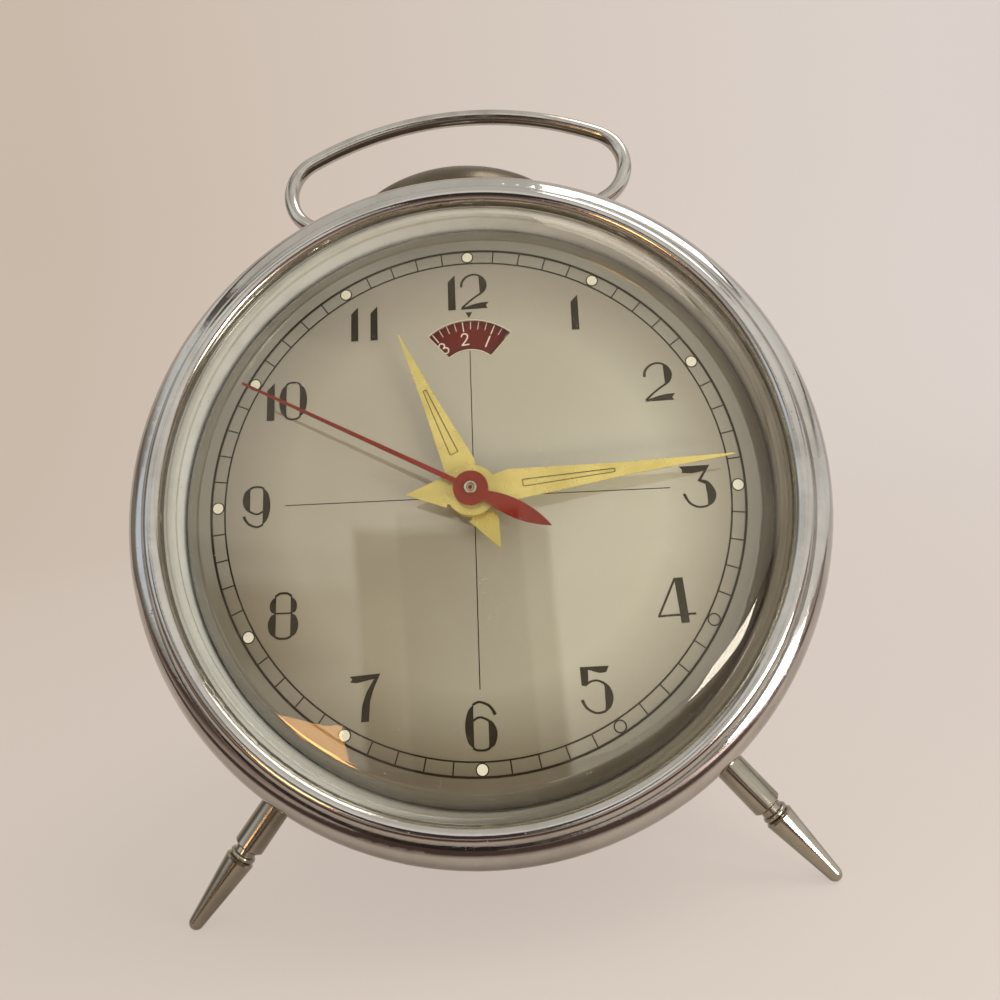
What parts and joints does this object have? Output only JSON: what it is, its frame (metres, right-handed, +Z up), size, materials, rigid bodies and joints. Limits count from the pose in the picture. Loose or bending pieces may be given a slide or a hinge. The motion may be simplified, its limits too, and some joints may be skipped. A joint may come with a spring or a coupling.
{
  "type": "wind-up alarm clock",
  "caption": "Round chromed wind-up alarm clock on two turned legs, with wire handle, top bell, domed glass, gilt hands, red sweep seconds hand and a full wheelwork.",
  "frame": {"origin": "middle of the bounding box's base, on the surface the clock stands on", "axes": "+Z up, +X to the right seen from the front, -Y towards the viewer; the dial leans back"},
  "size_m": [0.12, 0.0892, 0.1507],
  "materials": {
    "chrome": "bright chrome plate",
    "glass": "clear domed glass",
    "ring": "pale cream spacer ring",
    "dial": "champagne lacquer, finely brushed",
    "back": "nickelled steel sheet",
    "steel": "turned and polished steel",
    "spring": "blued spring steel",
    "brass": "machined brass",
    "gilt": "gilt stamped sheet",
    "red": "red enamel",
    "knob": "turned and fluted",
    "key": "pressed winding keys"
  },
  "bodies": {
    "case": {"case_drum": "chrome", "bezel": "chrome", "glass": "glass", "back_cover": "back", "handle": "chrome", "bell": "chrome", "left_leg": "chrome", "right_leg": "chrome", "dial_ring": "ring", "dial": "dial", "handle_fittings": "chrome", "bell_post": "chrome", "bell_nuts": "chrome", "leg_nuts": "steel", "front_plate": "brass", "back_plate": "brass", "plate_pillars": "steel", "pillar_nuts": "steel", "movement_posts": "steel", "centre_bridge": "brass", "balance_screws": "steel", "time_mainspring": "spring", "alarm_mainspring": "spring", "hairspring": "spring", "alarm_release_spring": "steel", "cover_screws": "steel"},
    "seconds": {"fourth_wheel": "brass", "second_hand": "red"},
    "escape": {"escape_wheel": "brass"},
    "third": {"third_wheel": "brass"},
    "centre": {"centre_wheel": "brass"},
    "minute_hand_body": {"cannon_pinion": "steel", "minute_hand": "gilt"},
    "minute_carrier": {"minute_bush": "brass"},
    "minute_work": {"minute_wheel": "brass"},
    "hour_carrier": {"hour_sleeve": "brass"},
    "hour_hand_body": {"hour_wheel": "brass", "hour_hand": "gilt"},
    "alarm_carrier": {"alarm_sleeve": "brass"},
    "alarm_hours": {"alarm_wheel": "brass"},
    "set_carrier": {"set_sleeve": "brass"},
    "hand_setting": {"hand_set_knob": "knob"},
    "alarm_setting": {"alarm_arbor": "steel", "alarm_set_knob": "knob", "alarm_disc": "red"},
    "time_great": {"time_great_wheel": "brass"},
    "time_winding": {"time_ratchet": "steel", "time_key": "key"},
    "time_pawl": {"time_click": "steel"},
    "alarm_great": {"alarm_great_wheel": "brass"},
    "alarm_winding": {"alarm_ratchet": "steel", "alarm_key": "key"},
    "alarm_pawl": {"alarm_click": "steel"},
    "alarm_star": {"star_wheel": "steel"},
    "alarm_hammer": {"hammer": "steel"},
    "lever": {"pallet_lever": "steel"},
    "balance": {"balance_wheel": "brass", "balance_staff": "steel"},
    "regulator": {"regulator_lever": "steel"},
    "stop": {"stop_button": "knob"}
  },
  "joints": [
    {"name": "seconds_arbor", "type": "hinge", "parent": "case", "child": "seconds", "pos_m": [0, -0.02065, 0.06862], "axis": [0, 0.9499, -0.3126], "continuous": true},
    {"name": "escape_arbor", "type": "hinge", "parent": "case", "child": "escape", "pos_m": [0.01052, -0.01767, 0.07768], "axis": [0, 0.9499, -0.3126], "continuous": true},
    {"name": "third_arbor", "type": "hinge", "parent": "case", "child": "third", "pos_m": [-0.01185, -0.01826, 0.07588], "axis": [0, 0.9499, -0.3126], "continuous": true},
    {"name": "centre_arbor", "type": "hinge", "parent": "case", "child": "centre", "pos_m": [0, -0.02065, 0.06862], "axis": [0, 0.9499, -0.3126], "continuous": true},
    {"name": "time_great_arbor", "type": "hinge", "parent": "case", "child": "time_great", "pos_m": [0.01306, -0.02603, 0.05228], "axis": [0, 0.9499, -0.3126], "continuous": true},
    {"name": "hand_setting_slip", "type": "hinge", "parent": "centre", "child": "minute_hand_body", "pos_m": [0, -0.02065, 0.06862], "axis": [0, 0.9499, -0.3126], "continuous": true},
    {"name": "minute_carrier_turn", "type": "hinge", "parent": "case", "child": "minute_carrier", "pos_m": [0.01238, -0.01907, 0.07342], "axis": [0, 0.9499, -0.3126], "continuous": true},
    {"name": "minute_wheel_turn", "type": "hinge", "parent": "minute_carrier", "child": "minute_work", "pos_m": [0.01238, -0.01907, 0.07342], "axis": [0, 0.9499, -0.3126], "continuous": true},
    {"name": "hour_carrier_turn", "type": "hinge", "parent": "case", "child": "hour_carrier", "pos_m": [0, -0.02065, 0.06862], "axis": [0, 0.9499, -0.3126], "continuous": true},
    {"name": "hour_wheel_turn", "type": "hinge", "parent": "hour_carrier", "child": "hour_hand_body", "pos_m": [0, -0.02065, 0.06862], "axis": [0, 0.9499, -0.3126], "continuous": true},
    {"name": "alarm_carrier_turn", "type": "hinge", "parent": "case", "child": "alarm_carrier", "pos_m": [0.00105, -0.01397, 0.08893], "axis": [0, 0.9499, -0.3126], "continuous": true},
    {"name": "alarm_wheel_turn", "type": "hinge", "parent": "alarm_carrier", "child": "alarm_hours", "pos_m": [0.00105, -0.01397, 0.08893], "axis": [0, 0.9499, -0.3126], "continuous": true},
    {"name": "set_carrier_turn", "type": "hinge", "parent": "case", "child": "set_carrier", "pos_m": [0.02002, -0.01564, 0.08386], "axis": [0, 0.9499, -0.3126], "continuous": true},
    {"name": "hand_setting_knob", "type": "hinge", "parent": "set_carrier", "child": "hand_setting", "pos_m": [0.02002, -0.01564, 0.08386], "axis": [0, 0.9499, -0.3126], "continuous": true},
    {"name": "alarm_setting_knob", "type": "hinge", "parent": "case", "child": "alarm_setting", "pos_m": [0.00105, -0.01397, 0.08893], "axis": [0, 0.9499, -0.3126], "continuous": true},
    {"name": "time_key_winding", "type": "hinge", "parent": "time_great", "child": "time_winding", "pos_m": [0.01306, -0.02603, 0.05228], "axis": [0, 0.9499, -0.3126], "range_deg": [0, 2160]},
    {"name": "alarm_key_winding", "type": "hinge", "parent": "alarm_great", "child": "alarm_winding", "pos_m": [-0.02495, -0.02653, 0.05076], "axis": [0, 0.9499, -0.3126], "range_deg": [0, 2160]},
    {"name": "time_click_pivot", "type": "hinge", "parent": "time_great", "child": "time_pawl", "pos_m": [0.00533, -0.02447, 0.05702], "axis": [0, 0.9499, -0.3126], "range_deg": [0, 9]},
    {"name": "alarm_click_pivot", "type": "hinge", "parent": "alarm_great", "child": "alarm_pawl", "pos_m": [-0.01996, -0.02411, 0.05811], "axis": [0, 0.9499, -0.3126], "range_deg": [0, 9]},
    {"name": "alarm_star_arbor", "type": "hinge", "parent": "case", "child": "alarm_star", "pos_m": [-0.02715, -0.02107, 0.06735], "axis": [0, 0.9499, -0.3126], "continuous": true},
    {"name": "alarm_great_arbor", "type": "hinge", "parent": "case", "child": "alarm_great", "pos_m": [-0.02495, -0.02653, 0.05076], "axis": [0, 0.9499, -0.3126], "continuous": true},
    {"name": "hammer_arbor", "type": "hinge", "parent": "case", "child": "alarm_hammer", "pos_m": [-0.02827, -0.01831, 0.07574], "axis": [0, 0.9499, -0.3126], "range_deg": [-2.4, 2.4]},
    {"name": "lever_arbor", "type": "hinge", "parent": "case", "child": "lever", "pos_m": [0.01995, -0.01823, 0.07598], "axis": [0, 0.9499, -0.3126], "range_deg": [-4.5, 4.5]},
    {"name": "balance_arbor", "type": "hinge", "parent": "case", "child": "balance", "pos_m": [0.03135, -0.01816, 0.0762], "axis": [0, 0.9499, -0.3126], "range_deg": [-150, 150], "stiffness_Nm_per_rad": 0.000025},
    {"name": "regulator_pivot", "type": "hinge", "parent": "case", "child": "regulator", "pos_m": [0.03135, -0.01816, 0.0762], "axis": [0, 0.9499, -0.3126], "range_deg": [-25, 25]},
    {"name": "stop_button_slide", "type": "slide", "parent": "case", "child": "stop", "axis": [0, -0.9499, 0.3126], "range_m": [0, 0.004]}
  ],
  "couplings": [
    {"joint": "escape_arbor", "follows": "seconds_arbor", "ratio": -8},
    {"joint": "third_arbor", "follows": "seconds_arbor", "ratio": -0.13333},
    {"joint": "centre_arbor", "follows": "seconds_arbor", "ratio": 0.016667},
    {"joint": "time_great_arbor", "follows": "seconds_arbor", "ratio": -0.0033333},
    {"joint": "minute_carrier_turn", "follows": "seconds_arbor", "ratio": -0.0055556},
    {"joint": "hour_carrier_turn", "follows": "seconds_arbor", "ratio": 0.0013889},
    {"joint": "alarm_carrier_turn", "follows": "seconds_arbor", "ratio": -0.0013889},
    {"joint": "set_carrier_turn", "follows": "seconds_arbor", "ratio": 0.016667},
    {"joint": "minute_wheel_turn", "follows": "hand_setting_slip", "ratio": -0.33333},
    {"joint": "hour_wheel_turn", "follows": "hand_setting_slip", "ratio": 0.083333},
    {"joint": "alarm_wheel_turn", "follows": "hand_setting_slip", "ratio": -0.083333},
    {"joint": "hand_setting_knob", "follows": "hand_setting_slip", "ratio": 1},
    {"joint": "alarm_great_arbor", "follows": "alarm_star_arbor", "ratio": -0.14286}
  ]
}
